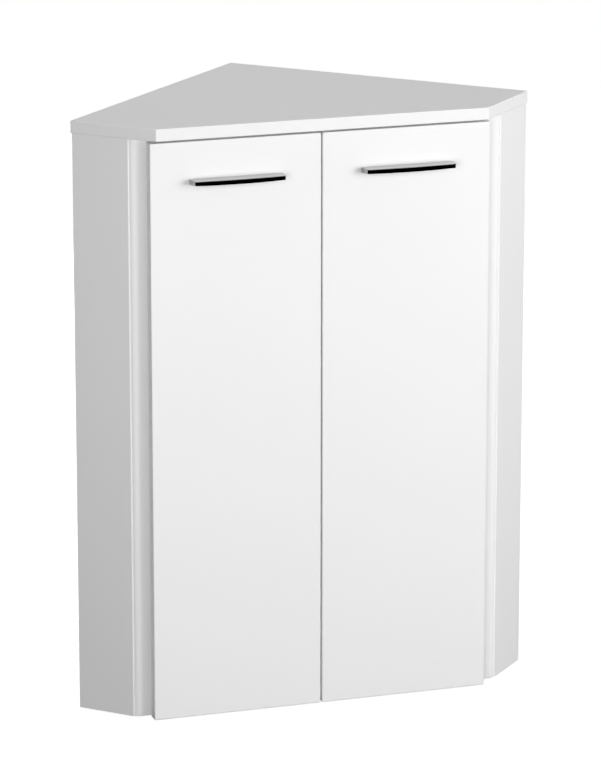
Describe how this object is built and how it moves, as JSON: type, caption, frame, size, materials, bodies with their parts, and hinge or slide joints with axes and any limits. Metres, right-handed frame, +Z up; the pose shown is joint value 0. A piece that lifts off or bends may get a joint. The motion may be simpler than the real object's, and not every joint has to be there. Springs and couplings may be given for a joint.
{
  "type": "corner cupboard",
  "caption": "Free-standing corner cupboard with a pentagonal plan, a slab top, shelves inside and slab doors with low pull handles, hung on cup hinges.",
  "frame": {"origin": "on the floor, under the middle of the bounding box", "axes": "+Z up; the doors face -Y and the room-corner edge of the cupboard is at +Y; +X to the right seen from the front"},
  "size_m": [0.8486, 0.5588, 1.08],
  "materials": {
    "white_board": "white melamine-faced board, satin",
    "back_board": "white-faced board, matt",
    "chrome_handle": "polished",
    "hinge_steel": "nickel-plated, satin",
    "peg_steel": "zinc-plated",
    "screw_steel": "zinc-plated",
    "foot_plastic": "moulded, matt",
    "bumper_clear": "soft translucent"
  },
  "bodies": {
    "carcase": {"top_plate": "white_board", "top_rail": "white_board", "bottom_board": "white_board", "lower_shelf": "white_board", "middle_shelf": "white_board", "upper_shelf": "white_board", "left_side_panel": "white_board", "left_front_stile": "white_board", "right_side_panel": "white_board", "right_front_stile": "white_board", "rear_corner_post": "back_board", "left_back_panel": "back_board", "left_hinge_batten": "back_board", "right_back_panel": "back_board", "right_hinge_batten": "back_board", "rear_foot": "foot_plastic", "left_foot": "foot_plastic", "right_foot": "foot_plastic", "front_left_foot": "foot_plastic", "front_right_foot": "foot_plastic", "lower_left_side_peg": "peg_steel", "lower_left_back_peg": "peg_steel", "lower_right_side_peg": "peg_steel", "lower_right_back_peg": "peg_steel", "upper_left_side_peg": "peg_steel", "upper_left_back_peg": "peg_steel", "upper_right_side_peg": "peg_steel", "upper_right_back_peg": "peg_steel", "left_hinge_arm_1": "hinge_steel", "left_hinge_arm_2": "hinge_steel", "left_hinge_arm_3": "hinge_steel", "left_hinge_mount_1": "hinge_steel", "left_hinge_mount_2": "hinge_steel", "left_hinge_mount_3": "hinge_steel", "right_hinge_arm_1": "hinge_steel", "right_hinge_arm_2": "hinge_steel", "right_hinge_arm_3": "hinge_steel", "right_hinge_mount_1": "hinge_steel", "right_hinge_mount_2": "hinge_steel", "right_hinge_mount_3": "hinge_steel"},
    "left_door": {"left_door": "white_board", "left_handle": "chrome_handle", "left_handle_screw_1": "screw_steel", "left_handle_screw_2": "screw_steel", "left_hinge_cup_1": "hinge_steel", "left_hinge_cup_2": "hinge_steel", "left_hinge_cup_3": "hinge_steel", "left_lower_bumper": "bumper_clear", "left_upper_bumper": "bumper_clear"},
    "right_door": {"right_door": "white_board", "right_handle": "chrome_handle", "right_handle_screw_1": "screw_steel", "right_handle_screw_2": "screw_steel", "right_hinge_cup_1": "hinge_steel", "right_hinge_cup_2": "hinge_steel", "right_hinge_cup_3": "hinge_steel", "right_lower_bumper": "bumper_clear", "right_upper_bumper": "bumper_clear"}
  },
  "joints": [
    {"name": "left_door_hinge", "type": "hinge", "parent": "carcase", "child": "left_door", "pos_m": [-0.30454, -0.24038, 0.529], "axis": [0, 0, -1], "range_deg": [0, 95]},
    {"name": "right_door_hinge", "type": "hinge", "parent": "carcase", "child": "right_door", "pos_m": [0.30454, -0.24038, 0.529], "axis": [0, 0, 1], "range_deg": [0, 95]}
  ]
}
